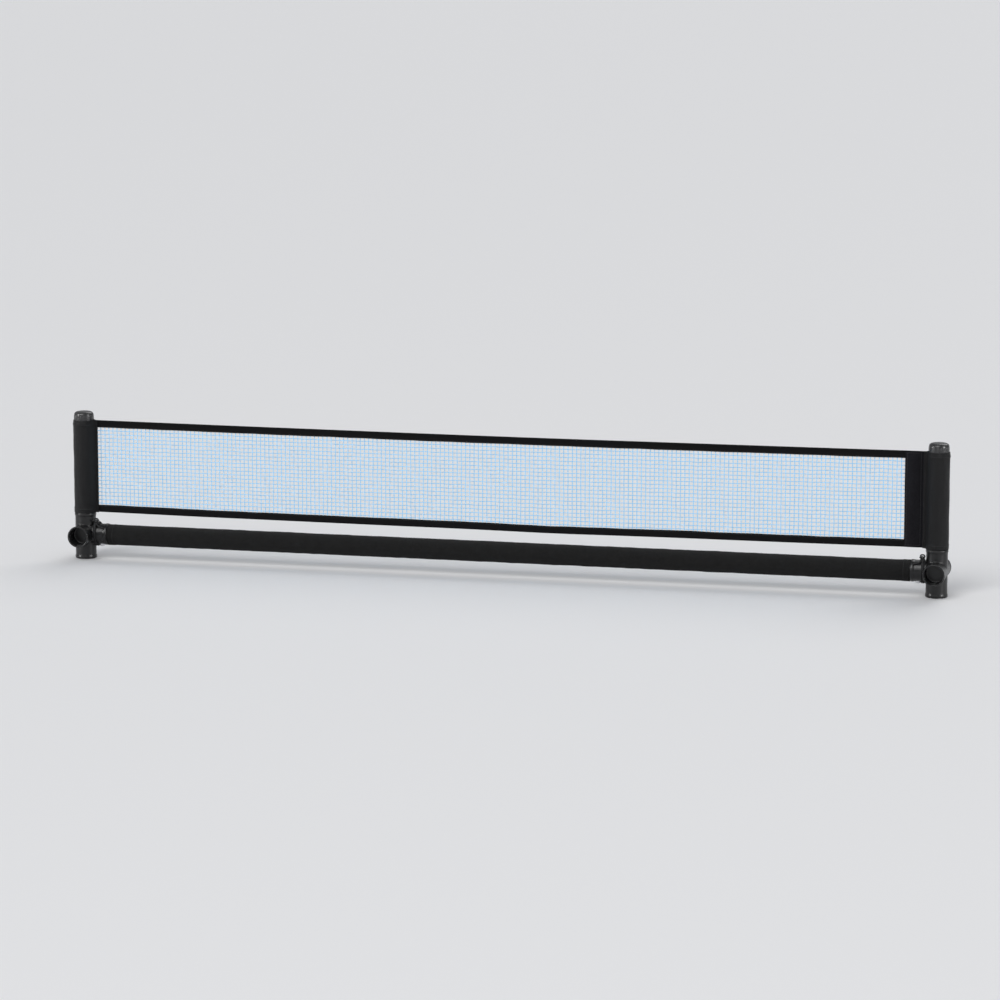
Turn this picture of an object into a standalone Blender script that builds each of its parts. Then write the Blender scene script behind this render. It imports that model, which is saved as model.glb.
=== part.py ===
"""Net, clamp posts and crossbar of a portable table tennis table.

X runs along the net, Y through it, Z up. The part stands on the mouths of its two lower sockets,
with the origin on that plane, midway between the posts.
"""

import math

import bmesh
import bpy
from mathutils import Matrix, Vector

# Driving dimensions, in metres. Heights named "above axis" are above the crossbar's centre line.
HUB_SPACING = 1.220
GAP = 0.0003
TUBE_RADIUS = 0.0127
TUBE_WALL = 0.0012
SOCKET_RADIUS = 0.0148
SOCKET_BORE = TUBE_RADIUS + GAP
SOCKET_FLOOR = 0.0140
ARM_LENGTH = 0.0350
UP_ARM_LENGTH = 0.0310
COLLAR_RADIUS = 0.0154
COLLAR_WIDTH = 0.0040
MOUTH_ROUND = 0.0006
CAP_RADIUS = 0.0139
CAP_LENGTH = 0.0220
CAP_TOP_ABOVE_AXIS = 0.1760
CAP_CHAMFER = 0.0030
POCKET_INNER = CAP_RADIUS + GAP
POCKET_OUTER = 0.0154
NET_TOP_ABOVE_AXIS = 0.1640
NET_BOTTOM_ABOVE_AXIS = 0.0318
SEAM_WIDTH = 0.0050
PANEL_WIDTH = 0.0250
FABRIC_THICKNESS = 0.0024
TAPE_HEIGHT = 0.0104
TAPE_WALL = 0.0006
TOP_TAPE_THICKNESS = 0.0040
BOTTOM_TAPE_THICKNESS = 0.0032
MESH_THICKNESS = 0.0012
TOP_CORD_RADIUS = 0.0010
SLEEVE_OUTER = 0.0141
BUTTON_RADIUS = 0.0046
BUTTON_HOLE_RADIUS = 0.0050
BUTTON_OFFSET = 0.0250
BUTTON_TOP = 0.0175
BUTTON_FLANGE_RADIUS = 0.0058
BUTTON_FLANGE_TOP = 0.0093
BUTTON_FLANGE_BASE = 0.0082
SPRING_WIDTH = 0.0070
SPRING_THICKNESS = 0.0008
SPRING_TIP = 0.0180
SPRING_BEND = 0.0600
TIE_CORD_RADIUS = 0.0012
TIE_OFFSET = 0.0185
SIDES = 32

AXIS_HEIGHT = ARM_LENGTH
HALF_SPACING = HUB_SPACING / 2
SIDE_NAMES = {-1: "left", 1: "right"}

MATERIALS = {
    "moulded_black": ((0.022, 0.022, 0.024), 0.42, 0.0),
    "powder_coat": ((0.018, 0.018, 0.020), 0.45, 0.0),
    "cap_black": ((0.030, 0.030, 0.032), 0.38, 0.0),
    "pocket_fabric": ((0.024, 0.024, 0.026), 0.75, 0.0),
    "sleeve_fabric": ((0.020, 0.020, 0.021), 0.90, 0.0),
    "tape_fabric": ((0.010, 0.010, 0.011), 0.85, 0.0),
    "net_blue": ((0.30, 0.58, 0.86), 0.80, 0.0),
    "cord_black": ((0.015, 0.015, 0.016), 0.85, 0.0),
    "spring_steel": ((0.55, 0.55, 0.57), 0.30, 1.0),
    "button_steel": ((0.72, 0.72, 0.74), 0.18, 1.0),
}


def remove_scene_objects():
    for scene_object in list(bpy.data.objects):
        bpy.data.objects.remove(scene_object, do_unlink=True)


def make_material(name):
    colour, roughness, metallic = MATERIALS[name]
    material = bpy.data.materials.get(name) or bpy.data.materials.new(name)
    material.use_nodes = True
    shader = material.node_tree.nodes["Principled BSDF"]
    shader.inputs["Base Color"].default_value = (*colour, 1.0)
    shader.inputs["Roughness"].default_value = roughness
    shader.inputs["Metallic"].default_value = metallic
    material.diffuse_color = (*colour, 1.0)
    return material


def make_empty(name, location):
    empty = bpy.data.objects.new(name, None)
    empty.location = location
    bpy.context.collection.objects.link(empty)
    return empty


def make_object(name, shape, material, location=(0.0, 0.0, 0.0), parent=None):
    """Turn a bmesh into a smooth-shaded object; location is in the parent's space."""
    bmesh.ops.recalc_face_normals(shape, faces=shape.faces)
    mesh = bpy.data.meshes.new(name)
    shape.to_mesh(mesh)
    shape.free()
    mesh.shade_smooth()
    mesh.set_sharp_from_angle(angle=math.radians(35))
    made = bpy.data.objects.new(name, mesh)
    made.data.materials.append(make_material(material))
    made.location = location
    made.parent = parent
    bpy.context.collection.objects.link(made)
    return made


def add_boolean(target, cutter, operation):
    """Join or cut target with cutter, which stays in the file as a hidden guide."""
    cutter.hide_render = True
    cutter.display_type = "WIRE"
    modifier = target.modifiers.new(cutter.name, "BOOLEAN")
    modifier.operation = operation
    modifier.solver = "EXACT"
    modifier.object = cutter


def turned(profile, sides=SIDES, phase=0.0):
    """Revolve (radius, height) points about Z; a profile that starts and ends off the axis closes on itself."""
    shape = bmesh.new()
    rings = []
    for radius, height in profile:
        if radius == 0.0:
            rings.append([shape.verts.new((0.0, 0.0, height))] * sides)
            continue
        angles = [2 * math.pi * (i + phase) / sides for i in range(sides)]
        rings.append([shape.verts.new((radius * math.cos(a), radius * math.sin(a), height)) for a in angles])
    pairs = list(zip(rings, rings[1:]))
    if profile[0][0] > 0.0:
        pairs.append((rings[-1], rings[0]))
    for lower, upper in pairs:
        for i in range(sides):
            j = (i + 1) % sides
            corners = list(dict.fromkeys([lower[i], lower[j], upper[j], upper[i]]))
            shape.faces.new(corners)
    return shape


def prism(outline, length):
    """Extrude a closed (y, z) outline along X, from x = 0."""
    shape = bmesh.new()
    face = shape.faces.new([shape.verts.new((0.0, y, z)) for y, z in outline])
    grown = bmesh.ops.extrude_face_region(shape, geom=[face])
    moved = [part for part in grown["geom"] if isinstance(part, bmesh.types.BMVert)]
    bmesh.ops.translate(shape, verts=moved, vec=(length, 0.0, 0.0))
    return shape


def box(size, centre):
    shape = bmesh.new()
    bmesh.ops.create_cube(shape, size=1.0)
    bmesh.ops.scale(shape, verts=shape.verts, vec=size)
    bmesh.ops.translate(shape, verts=shape.verts, vec=centre)
    return shape


def towards(shape, direction):
    """Turn a shape made along +Z so that it points along direction."""
    rotation = Vector((0.0, 0.0, 1.0)).rotation_difference(Vector(direction)).to_matrix()
    bmesh.ops.rotate(shape, verts=shape.verts, cent=(0.0, 0.0, 0.0), matrix=rotation)
    return shape


def arc(centre, radius, start, end, steps):
    """Points on a round stretch of an outline, angles in degrees."""
    angles = [math.radians(start + (end - start) * i / steps) for i in range(steps + 1)]
    return [(centre[0] + radius * math.cos(a), centre[1] + radius * math.sin(a)) for a in angles]


def arm_end(length):
    """Profile of a socket's outside from its shoulder to its mouth, with the collar round it."""
    shoulder = length - COLLAR_WIDTH
    corner = arc((COLLAR_RADIUS - MOUTH_ROUND, length - MOUTH_ROUND), MOUTH_ROUND, 0, 90, 2)
    return [
        (SOCKET_RADIUS, shoulder - (COLLAR_RADIUS - SOCKET_RADIUS)),
        (COLLAR_RADIUS, shoulder),
        *corner,
        (0.0, length),
    ]


def through_arm(low_length, high_length, phase):
    """Solid of two sockets back to back along Z."""
    low_end = [(radius, -height) for radius, height in reversed(arm_end(low_length))]
    return turned(low_end + arm_end(high_length), phase=phase)


def make_hub(side):
    """Moulded five-way fitting: sockets up, down, front, rear and towards the net."""
    name = "hub_" + SIDE_NAMES[side]
    centre = (side * HALF_SPACING, 0.0, AXIS_HEIGHT)
    inward = (-side, 0.0, 0.0)
    hub = make_object(name, through_arm(ARM_LENGTH, UP_ARM_LENGTH, 0.0), "moulded_black", centre)

    joined = {
        "rail": towards(through_arm(ARM_LENGTH, ARM_LENGTH, 0.5), (0.0, 1.0, 0.0)),
        "bar": towards(turned([(0.0, 0.0), (SOCKET_RADIUS, 0.0)] + arm_end(ARM_LENGTH), phase=0.25), inward),
    }
    for label, shape in joined.items():
        guide = make_object(f"{name}_guide_{label}", shape, "moulded_black", centre)
        add_boolean(hub, guide, "UNION")

    directions = {
        "up": ((0.0, 0.0, 1.0), UP_ARM_LENGTH),
        "down": ((0.0, 0.0, -1.0), ARM_LENGTH),
        "front": ((0.0, -1.0, 0.0), ARM_LENGTH),
        "rear": ((0.0, 1.0, 0.0), ARM_LENGTH),
        "inner": (inward, ARM_LENGTH),
    }
    lead_in = 0.0005
    for label, (direction, length) in directions.items():
        bore = turned(
            [
                (0.0, SOCKET_FLOOR),
                (SOCKET_BORE, SOCKET_FLOOR),
                (SOCKET_BORE, length - lead_in),
                (SOCKET_BORE + 2 * lead_in, length + lead_in),
                (0.0, length + lead_in),
            ]
        )
        cutter = make_object(f"{name}_cut_{label}", towards(bore, direction), "moulded_black", centre)
        add_boolean(hub, cutter, "DIFFERENCE")

    # Holes that the tubes' snap buttons come out of: underneath on the level sockets, behind on the lower one.
    hole_length = 0.012
    holes = {
        "front": ((0.0, -BUTTON_OFFSET, 0.0), (0.0, 0.0, -1.0)),
        "rear": ((0.0, BUTTON_OFFSET, 0.0), (0.0, 0.0, -1.0)),
        "inner": ((-side * BUTTON_OFFSET, 0.0, 0.0), (0.0, 0.0, -1.0)),
        "down": ((0.0, 0.0, -BUTTON_OFFSET), (0.0, 1.0, 0.0)),
    }
    for label, (offset, direction) in holes.items():
        near = SOCKET_RADIUS - hole_length / 2
        radius = BUTTON_HOLE_RADIUS + 0.0002
        profile = [(0.0, near), (radius, near), (radius, near + hole_length), (0.0, near + hole_length)]
        place = Vector(centre) + Vector(offset)
        drill = make_object(
            f"{name}_drill_{label}", towards(turned(profile, 20), direction), "moulded_black", place
        )
        add_boolean(hub, drill, "DIFFERENCE")
    return hub


def tube_profile(low, high):
    inner = TUBE_RADIUS - TUBE_WALL
    return [(inner, low), (TUBE_RADIUS, low), (TUBE_RADIUS, high), (inner, high)]


def make_crossbar():
    """Steel tube between the hubs, drilled near each end for its snap button, in its fabric sleeve."""
    reach = HALF_SPACING - SOCKET_FLOOR - GAP
    shape = towards(turned(tube_profile(-reach, reach)), (1.0, 0.0, 0.0))
    tube = make_object("crossbar_tube", shape, "powder_coat", (0.0, 0.0, AXIS_HEIGHT))
    for side, word in SIDE_NAMES.items():
        profile = [(0.0, 0.006), (BUTTON_HOLE_RADIUS, 0.006), (BUTTON_HOLE_RADIUS, 0.016), (0.0, 0.016)]
        place = (side * (HALF_SPACING - BUTTON_OFFSET), 0.0, AXIS_HEIGHT)
        drill = make_object(
            f"crossbar_drill_{word}", towards(turned(profile, 20), (0.0, 0.0, -1.0)), "powder_coat", place
        )
        add_boolean(tube, drill, "DIFFERENCE")

    sleeve_reach = HALF_SPACING - ARM_LENGTH - 2 * GAP
    inner = TUBE_RADIUS + GAP
    profile = [
        (inner, -sleeve_reach),
        (SLEEVE_OUTER, -sleeve_reach),
        (SLEEVE_OUTER, sleeve_reach),
        (inner, sleeve_reach),
    ]
    shape = towards(turned(profile), (1.0, 0.0, 0.0))
    make_object("crossbar_sleeve", shape, "sleeve_fabric", (0.0, 0.0, AXIS_HEIGHT))


def spring_outline():
    """Closed (x, z) outline of the bent strip: top leg on the tube's roof, lower leg under the button's head."""
    top = 0.0100
    bend_radius = 0.0030
    low = -0.0075
    half = SPRING_THICKNESS / 2
    bend_centre = (SPRING_BEND, top - bend_radius)
    slope_end = BUTTON_OFFSET + 0.0100
    outer = [(SPRING_TIP, top + half)]
    outer += arc(bend_centre, bend_radius + half, 90, -70, 8)
    outer += [(slope_end, low - half), (SPRING_TIP, low - half)]
    inner = [(SPRING_TIP, low + half), (slope_end - 0.0004, low + half)]
    inner += arc(bend_centre, bend_radius - half, -70, 90, 8)
    inner += [(SPRING_TIP, top - half)]
    return outer + inner


def make_snap_lock(side):
    """V-shaped leaf spring inside the crossbar's end, and the domed button that it pushes out."""
    word = SIDE_NAMES[side]
    shape = bmesh.new()
    outline = [(-side * x, z) for x, z in spring_outline()]
    face = shape.faces.new([shape.verts.new((x, -SPRING_WIDTH / 2, z)) for x, z in outline])
    grown = bmesh.ops.extrude_face_region(shape, geom=[face])
    moved = [part for part in grown["geom"] if isinstance(part, bmesh.types.BMVert)]
    bmesh.ops.translate(shape, verts=moved, vec=(0.0, SPRING_WIDTH, 0.0))
    make_object(f"snap_spring_{word}", shape, "spring_steel", (side * HALF_SPACING, 0.0, AXIS_HEIGHT))

    dome = 0.0030
    profile = [
        (0.0, BUTTON_FLANGE_BASE),
        (BUTTON_FLANGE_RADIUS, BUTTON_FLANGE_BASE),
        (BUTTON_FLANGE_RADIUS, BUTTON_FLANGE_TOP),
        (BUTTON_RADIUS, BUTTON_FLANGE_TOP),
    ]
    steps = 6
    for i in range(steps + 1):
        angle = math.pi / 2 * i / steps
        radius = BUTTON_RADIUS * math.cos(angle) if i < steps else 0.0
        profile.append((radius, BUTTON_TOP - dome + dome * math.sin(angle)))
    place = (side * (HALF_SPACING - BUTTON_OFFSET), 0.0, AXIS_HEIGHT)
    shape = towards(turned(profile, 24), (0.0, 0.0, -1.0))
    make_object(f"snap_button_{word}", shape, "button_steel", place)


def make_post(side, carriage):
    """Short upright tube in the upper socket, its slip-over cap and the net's pocket round both."""
    word = SIDE_NAMES[side]
    tube_top = CAP_TOP_ABOVE_AXIS - 0.0020 - GAP
    shape = turned(tube_profile(SOCKET_FLOOR + GAP, tube_top))
    make_object(f"post_tube_{word}", shape, "powder_coat", parent=carriage)

    cap_base = CAP_TOP_ABOVE_AXIS - CAP_LENGTH
    inner = TUBE_RADIUS + GAP
    profile = [
        (0.0, CAP_TOP_ABOVE_AXIS - 0.0020),
        (inner, CAP_TOP_ABOVE_AXIS - 0.0020),
        (inner, cap_base),
        (CAP_RADIUS, cap_base),
        *arc((CAP_RADIUS - CAP_CHAMFER, CAP_TOP_ABOVE_AXIS - CAP_CHAMFER), CAP_CHAMFER, 0, 80, 4),
        (0.0, CAP_TOP_ABOVE_AXIS),
    ]
    make_object(f"post_cap_{word}", turned(profile), "cap_black", parent=carriage)

    low = UP_ARM_LENGTH + GAP
    profile = [
        (POCKET_INNER, low),
        (POCKET_OUTER, low),
        (POCKET_OUTER, NET_TOP_ABOVE_AXIS),
        (POCKET_INNER, NET_TOP_ABOVE_AXIS),
    ]
    pocket = make_object(f"net_pocket_{word}", turned(profile), "pocket_fabric", parent=carriage)
    seam_start = (POCKET_INNER + POCKET_OUTER) / 2
    seam_end = POCKET_OUTER + SEAM_WIDTH
    height = NET_TOP_ABOVE_AXIS - low
    seam = box(
        (seam_end - seam_start, FABRIC_THICKNESS, height),
        (-side * (seam_start + seam_end) / 2, 0.0, low + height / 2),
    )
    guide = make_object(f"net_pocket_{word}_guide_seam", seam, "pocket_fabric", parent=carriage)
    add_boolean(pocket, guide, "UNION")


def tape_outline(thickness, low, high, opening):
    """(y, z) outline of a folded tape, open along its lower edge (opening -1) or its upper edge (+1)."""
    half = thickness / 2
    inner = half - TAPE_WALL
    ends = (low, high) if opening > 0 else (high, low)
    fold, edge = ends
    web = fold + opening * TAPE_WALL
    return [(-half, edge), (-half, fold), (half, fold), (half, edge), (inner, edge), (inner, web), (-inner, web),
            (-inner, edge)]


def make_net(carriage):
    """Mesh, folded tapes, the cord in the top tape and the wide hem at the right end."""
    post_inner = HALF_SPACING - POCKET_OUTER - SEAM_WIDTH - GAP
    start = -post_inner
    panel_start = post_inner - PANEL_WIDTH
    top, bottom = NET_TOP_ABOVE_AXIS, NET_BOTTOM_ABOVE_AXIS
    to_carriage = HALF_SPACING
    tape_length = panel_start - GAP - start
    place = (start + to_carriage, 0.0, 0.0)

    outline = tape_outline(TOP_TAPE_THICKNESS, top - TAPE_HEIGHT, top, -1)
    make_object("net_top_tape", prism(outline, tape_length), "tape_fabric", place, carriage)
    outline = tape_outline(BOTTOM_TAPE_THICKNESS, bottom, bottom + TAPE_HEIGHT, 1)
    make_object("net_bottom_tape", prism(outline, tape_length), "tape_fabric", place, carriage)

    cord_height = top - TAPE_WALL - GAP - TOP_CORD_RADIUS
    shape = prism(arc((0.0, cord_height), TOP_CORD_RADIUS, 0, 330, 11), tape_length)
    make_object("net_top_cord", shape, "cord_black", place, carriage)

    mesh_low = bottom + TAPE_WALL + GAP
    mesh_high = cord_height - TOP_CORD_RADIUS - GAP
    half = MESH_THICKNESS / 2
    outline = [(-half, mesh_low), (half, mesh_low), (half, mesh_high), (-half, mesh_high)]
    make_object("net_mesh", prism(outline, tape_length), "net_blue", place, carriage)

    panel = box(
        (PANEL_WIDTH, FABRIC_THICKNESS, top - bottom),
        (panel_start + PANEL_WIDTH / 2 + to_carriage, 0.0, (top + bottom) / 2),
    )
    make_object("net_end_panel", panel, "tape_fabric", (0.0, 0.0, 0.0), carriage)


def make_corner_tie(side):
    """Ring of thin cord round the hub's inward socket, with its knot at the front."""
    name = "corner_tie_" + SIDE_NAMES[side]
    centre = (side * (HALF_SPACING - TIE_OFFSET), 0.0, AXIS_HEIGHT)
    ring_radius = SOCKET_RADIUS + GAP + TIE_CORD_RADIUS
    profile = arc((ring_radius, 0.0), TIE_CORD_RADIUS, 0, 315, 7)
    tie = make_object(name, towards(turned(profile, 40), (1.0, 0.0, 0.0)), "cord_black", centre)
    knot = bmesh.new()
    bmesh.ops.create_icosphere(knot, subdivisions=2, radius=0.0024)
    angle = math.radians(140)
    knot_radius = ring_radius + 0.0010
    offset = (0.0, knot_radius * math.cos(angle), knot_radius * math.sin(angle))
    bmesh.ops.translate(knot, verts=knot.verts, vec=offset)
    guide = make_object(f"{name}_guide_knot", knot, "cord_black", centre)
    add_boolean(tie, guide, "UNION")


def main():
    remove_scene_objects()
    carriages = {}
    for side, word in SIDE_NAMES.items():
        make_hub(side)
        make_snap_lock(side)
        make_corner_tie(side)
        carriages[side] = make_empty(f"post_{word}_axis", (side * HALF_SPACING, 0.0, AXIS_HEIGHT))
        make_post(side, carriages[side])
    make_crossbar()
    make_net(carriages[-1])


main()
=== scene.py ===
import math

import bmesh
import bpy
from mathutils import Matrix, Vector, noise


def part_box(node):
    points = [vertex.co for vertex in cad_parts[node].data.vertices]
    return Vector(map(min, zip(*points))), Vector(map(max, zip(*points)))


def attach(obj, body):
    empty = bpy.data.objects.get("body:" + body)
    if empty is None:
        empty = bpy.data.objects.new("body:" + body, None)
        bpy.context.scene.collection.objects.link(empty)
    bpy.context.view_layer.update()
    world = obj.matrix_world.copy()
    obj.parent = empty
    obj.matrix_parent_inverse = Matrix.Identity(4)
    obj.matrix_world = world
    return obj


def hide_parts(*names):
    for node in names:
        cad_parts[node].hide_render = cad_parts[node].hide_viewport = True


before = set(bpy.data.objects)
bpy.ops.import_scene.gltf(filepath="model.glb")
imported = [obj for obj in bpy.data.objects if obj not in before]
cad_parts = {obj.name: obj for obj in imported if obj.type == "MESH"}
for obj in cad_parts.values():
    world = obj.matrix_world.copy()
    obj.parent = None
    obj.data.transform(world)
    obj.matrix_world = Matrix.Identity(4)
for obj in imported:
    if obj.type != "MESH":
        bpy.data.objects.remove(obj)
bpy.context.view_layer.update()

sideNames = {-1: "left", 1: "right"}
postBodies = {-1: "net_and_left_post", 1: "right_post"}


def centreOf(node):
    low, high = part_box(node)
    return (low + high) / 2


postAxis = {side: centreOf("post_tube_" + word) for side, word in sideNames.items()}
barAxis = centreOf("crossbar_tube")
print("frame loaded:", len(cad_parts), "nodes")


# camera, floor and light

cameraSetup = {
    "place": (1.284, -5.17, 1.015),
    "aim": (0.0, 0.0, 0.108),
    "focalLength": 140.0,
    "sensorWidth": 36.0,
}


def makeCamera(setup):
    lens = bpy.data.cameras.new("camera")
    lens.lens = setup["focalLength"]
    lens.sensor_width = setup["sensorWidth"]
    lens.clip_end = 200
    camera = bpy.data.objects.new("camera", lens)
    bpy.context.collection.objects.link(camera)
    camera.location = setup["place"]
    camera.rotation_euler = (Vector(setup["aim"]) - camera.location).to_track_quat("-Z", "Y").to_euler()
    bpy.context.scene.camera = camera


lightSetup = {
    "leftStrip": {"place": (-2.9, -1.7, 0.8), "size": (0.30, 2.4), "power": 66, "onFloor": False},
    "rightStrip": {"place": (3.3, -1.2, 0.8), "size": (0.30, 2.4), "power": 66, "onFloor": False},
    "front": {"place": (0.4, -5.2, 3.0), "size": (3.0, 2.0), "power": 20, "onFloor": True},
}
lightAim = (0.0, 0.0, 0.1)
broadLights = {
    "key": {"from": (-1.0, -3.0, 3.4), "strength": 1.25, "softness": 34.0},
    "rear": {"from": (0.9, 3.0, 3.2), "strength": 0.85, "softness": 40.0},
}
worldSetup = {"colour": (0.95, 0.97, 1.0), "strength": 0.36}
floorSetup = {"radius": 60.0, "colour": (0.84, 0.84, 0.85), "roughness": 0.8}


def addLight(name, kind, energy):
    lamp = bpy.data.lights.new(name, kind)
    lamp.energy = energy
    light = bpy.data.objects.new(name, lamp)
    bpy.context.collection.objects.link(light)
    return lamp, light


def makeLights(setup, floor):
    # the strips only draw highlights on the object, so the floor doesn't receive them
    allButFloor = bpy.data.collections.new("allButFloor")
    allButFloor.objects.link(floor)
    allButFloor.collection_objects[0].light_linking.link_state = "EXCLUDE"
    for name, values in setup.items():
        lamp, light = addLight(name, "AREA", values["power"])
        lamp.shape = "RECTANGLE"
        lamp.size, lamp.size_y = values["size"]
        light.location = values["place"]
        if not values["onFloor"]:
            light.light_linking.receiver_collection = allButFloor
        light.rotation_euler = (Vector(lightAim) - light.location).to_track_quat("-Z", "Y").to_euler()
    for name, values in broadLights.items():
        lamp, light = addLight(name, "SUN", values["strength"])
        lamp.angle = math.radians(values["softness"])
        light.rotation_euler = Vector(values["from"]).to_track_quat("Z", "Y").to_euler()
    world = bpy.data.worlds.new("paleRoom")
    bpy.context.scene.world = world
    world.use_nodes = True
    background = world.node_tree.nodes["Background"]
    background.inputs["Color"].default_value = (*worldSetup["colour"], 1.0)
    background.inputs["Strength"].default_value = worldSetup["strength"]


def makeFloor(setup):
    shape = bmesh.new()
    bmesh.ops.create_circle(shape, cap_ends=True, segments=64, radius=setup["radius"])
    mesh = bpy.data.meshes.new("floor")
    shape.to_mesh(mesh)
    shape.free()
    floor = bpy.data.objects.new("floor", mesh)
    bpy.context.collection.objects.link(floor)
    paint = bpy.data.materials.new("paleFloor")
    paint.use_nodes = True
    shader = paint.node_tree.nodes["Principled BSDF"]
    shader.inputs["Base Color"].default_value = (*setup["colour"], 1.0)
    shader.inputs["Roughness"].default_value = setup["roughness"]
    mesh.materials.append(paint)
    return floor


makeCamera(cameraSetup)
makeLights(lightSetup, makeFloor(floorSetup))
bpy.context.scene.view_settings.view_transform = "Standard"
print("camera, light and floor are set")


# shader node groups shared by the finishes

def addNode(tree, kind, inputs=None, **settings):
    # an input is either a fixed value or another node's socket
    node = tree.nodes.new(kind)
    for key, value in settings.items():
        setattr(node, key, value)
    for key, value in (inputs or {}).items():
        if isinstance(value, bpy.types.NodeSocket):
            tree.links.new(value, node.inputs[key])
        else:
            node.inputs[key].default_value = value
    return node


def firstOut(tree, kind, inputs=None, **settings):
    return addNode(tree, kind, inputs, **settings).outputs[0]


def mathNode(tree, operation, *values):
    return firstOut(tree, "ShaderNodeMath", dict(enumerate(values)), operation=operation)


def noiseNode(tree, vector, scale, detail, **more):
    inputs = {"Vector": vector, "Scale": scale, "Detail": detail, **more}
    return addNode(tree, "ShaderNodeTexNoise", inputs).outputs["Fac"]


def newGroup(name, kind, inputs, outputs):
    # a new node group, with the sockets that it is given and the ones that it fills
    tree = bpy.data.node_groups.new(name, kind)
    for label, sort, value in inputs:
        socket = tree.interface.new_socket(name=label, in_out="INPUT", socket_type="NodeSocket" + sort)
        if value is not None:
            socket.default_value = value
    for label, sort in outputs:
        tree.interface.new_socket(name=label, in_out="OUTPUT", socket_type="NodeSocket" + sort)
    given = tree.nodes.new("NodeGroupInput").outputs
    return tree, given, tree.nodes.new("NodeGroupOutput").inputs


def makeWeaveGroup():
    # plain weave on a map in metres: each cell shows the thread that lies on top
    inputs = [("Vector", "Vector", None), ("Thread pitch", "Float", 0.0006)]
    outputs = [("Height", "Float"), ("Tone and shade", "Float")]
    tree, given, made = newGroup("plainWeave", "ShaderNodeTree", inputs, outputs)
    perMetre = mathNode(tree, "DIVIDE", 1.0, given["Thread pitch"])
    sized = {0: given["Vector"], "Scale": perMetre}
    scaled = firstOut(tree, "ShaderNodeVectorMath", sized, operation="SCALE")
    split = addNode(tree, "ShaderNodeSeparateXYZ", {0: scaled}).outputs
    across, along = split["X"], split["Y"]
    cells = mathNode(tree, "ADD", mathNode(tree, "FLOOR", across), mathNode(tree, "FLOOR", along))
    onTop = mathNode(tree, "FLOORED_MODULO", cells, 2.0)
    humps = []
    for value in (across, along):
        part = mathNode(tree, "FRACT", value)
        humps.append(mathNode(tree, "SINE", mathNode(tree, "MULTIPLY", part, math.pi)))
    crossed = []
    for own, other in (humps, reversed(humps)):
        ridge = mathNode(tree, "POWER", own, 0.6)
        crown = mathNode(tree, "MULTIPLY_ADD", other, 0.5, 0.5)
        crossed.append(mathNode(tree, "MULTIPLY", ridge, crown))
    choice = {"Factor": onTop, "A": crossed[0], "B": crossed[1]}
    rounded = addNode(tree, "ShaderNodeMix", choice, data_type="FLOAT").outputs["Result"]
    twist = mathNode(tree, "MULTIPLY", mathNode(tree, "ADD", across, along), 6 * math.pi)
    ply = mathNode(tree, "SINE", twist)
    tree.links.new(mathNode(tree, "MULTIPLY_ADD", ply, 0.07, rounded), made["Height"])
    # each crossing is a little lighter or darker than the next, and the yarn drifts along its length; on
    # top of that, painted shade makes each thread's crown lighter and its dips darker
    cell = firstOut(tree, "ShaderNodeVectorMath", {0: scaled}, operation="FLOOR")
    uneven = addNode(tree, "ShaderNodeTexWhiteNoise", {"Vector": cell}).outputs["Value"]
    streak = noiseNode(tree, given["Vector"], 90.0, 3.0)
    # painted shade: the thread's height is added into its colour, lighter on the crown and darker in the
    # dips
    paintedCrownShade = mathNode(tree, "MULTIPLY", rounded, 0.45)
    mottled = mathNode(tree, "MULTIPLY_ADD", uneven, 0.35, paintedCrownShade)
    tree.links.new(mathNode(tree, "MULTIPLY_ADD", streak, 0.35, mottled), made["Tone and shade"])
    return tree


def makeGrainGroup():
    # fine skin of a coating or moulding, with a broad drift in its gloss
    inputs = [("Vector", "Vector", None), ("Grains per metre", "Float", 1500.0)]
    outputs = [("Height", "Float"), ("Drift", "Float")]
    tree, given, made = newGroup("fineGrain", "ShaderNodeTree", inputs, outputs)
    grain = noiseNode(tree, given["Vector"], given["Grains per metre"], 2.5, Roughness=0.6)
    tree.links.new(grain, made["Height"])
    tree.links.new(noiseNode(tree, given["Vector"], 38.0, 4.0), made["Drift"])
    return tree


def makeWearGroup():
    # thin dust in patches and a few fine scuffs, as masks from 0 to 1
    inputs = [("Vector", "Vector", None), ("Amount", "Float", 0.5)]
    outputs = [("Dust", "Float"), ("Scuffs", "Float")]
    tree, given, made = newGroup("dustAndScuffs", "ShaderNodeTree", inputs, outputs)
    cloud = noiseNode(tree, given["Vector"], 24.0, 6.0)
    speck = noiseNode(tree, given["Vector"], 900.0, 2.0)
    patches = mathNode(tree, "SMOOTH_MAX", mathNode(tree, "SUBTRACT", cloud, 0.48), 0.0, 0.05)
    dust = mathNode(tree, "MULTIPLY", mathNode(tree, "MULTIPLY", patches, speck), 4.0)
    tree.links.new(mathNode(tree, "MULTIPLY", dust, given["Amount"]), made["Dust"])
    stretch = {"Rotation": (0.6, 0.9, 0.3), "Scale": (30.0, 420.0, 60.0), "Vector": given["Vector"]}
    line = noiseNode(tree, firstOut(tree, "ShaderNodeMapping", stretch), 1.0, 1.0)
    sharp = mathNode(tree, "GREATER_THAN", line, 0.735)
    tree.links.new(mathNode(tree, "MULTIPLY", sharp, given["Amount"]), made["Scuffs"])
    return tree


weaveGroup = makeWeaveGroup()
grainGroup = makeGrainGroup()
wearGroup = makeWearGroup()


# materials

def startMaterial(name, colour, roughness, metallic=0.0, **constants):
    material = bpy.data.materials.new(name)
    material.use_nodes = True
    tree = material.node_tree
    shader = tree.nodes["Principled BSDF"]
    shader.inputs["Base Color"].default_value = (*colour, 1.0)
    shader.inputs["Roughness"].default_value = roughness
    shader.inputs["Metallic"].default_value = metallic
    for label, value in constants.items():
        shader.inputs[label].default_value = value
    return material, tree, shader


def placeGroup(tree, group, vector, **values):
    return addNode(tree, "ShaderNodeGroup", {"Vector": vector, **values}, node_tree=group).outputs


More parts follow.
